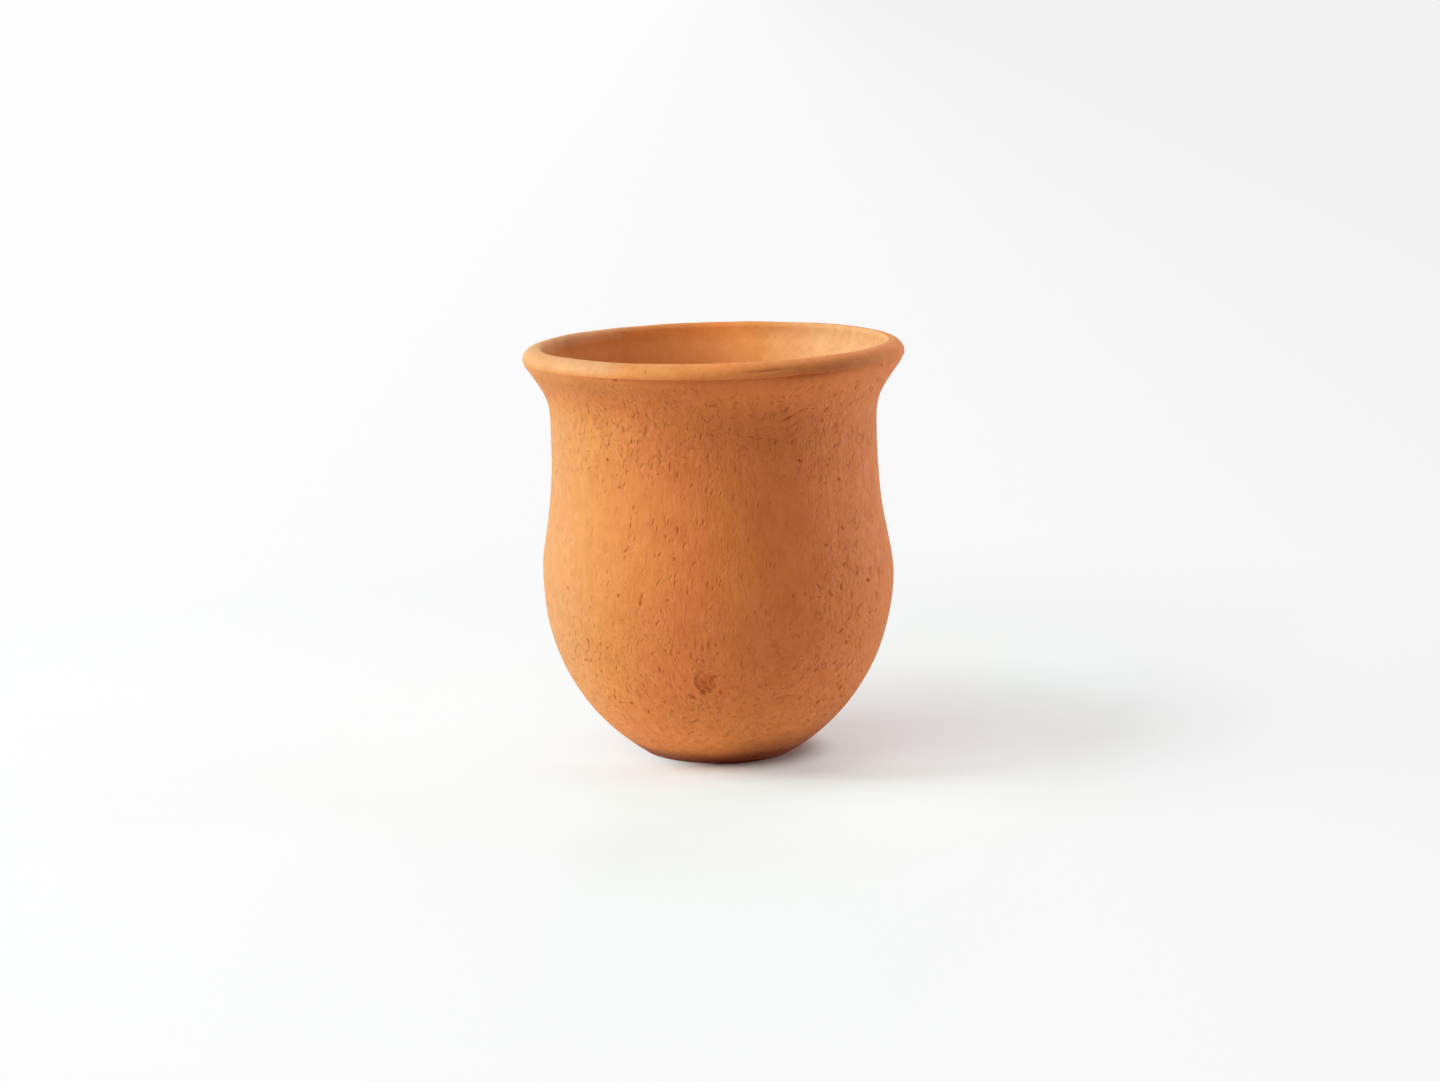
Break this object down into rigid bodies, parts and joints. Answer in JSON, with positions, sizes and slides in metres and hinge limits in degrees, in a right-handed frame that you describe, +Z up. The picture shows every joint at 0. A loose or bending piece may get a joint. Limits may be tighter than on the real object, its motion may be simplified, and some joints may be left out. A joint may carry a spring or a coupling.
{
  "type": "terracotta pot",
  "caption": "Hand-thrown terracotta planting pot: round bowl, slim waist, flared mouth with a rolled lip, and a drain hole in its flat foot.",
  "frame": {"origin": "on the ground plane under the centre of the mouth, which is the centre of the bounding box's bottom face", "axes": "+Z up along the turning axis; +X to the right in the picture, towards the side where the rim is tipped up; +Y away from the camera"},
  "size_m": [0.12, 0.12, 0.1317],
  "materials": {
    "terracotta": "matte"
  },
  "bodies": {
    "root": {"pot_body": "terracotta"}
  },
  "joints": []
}
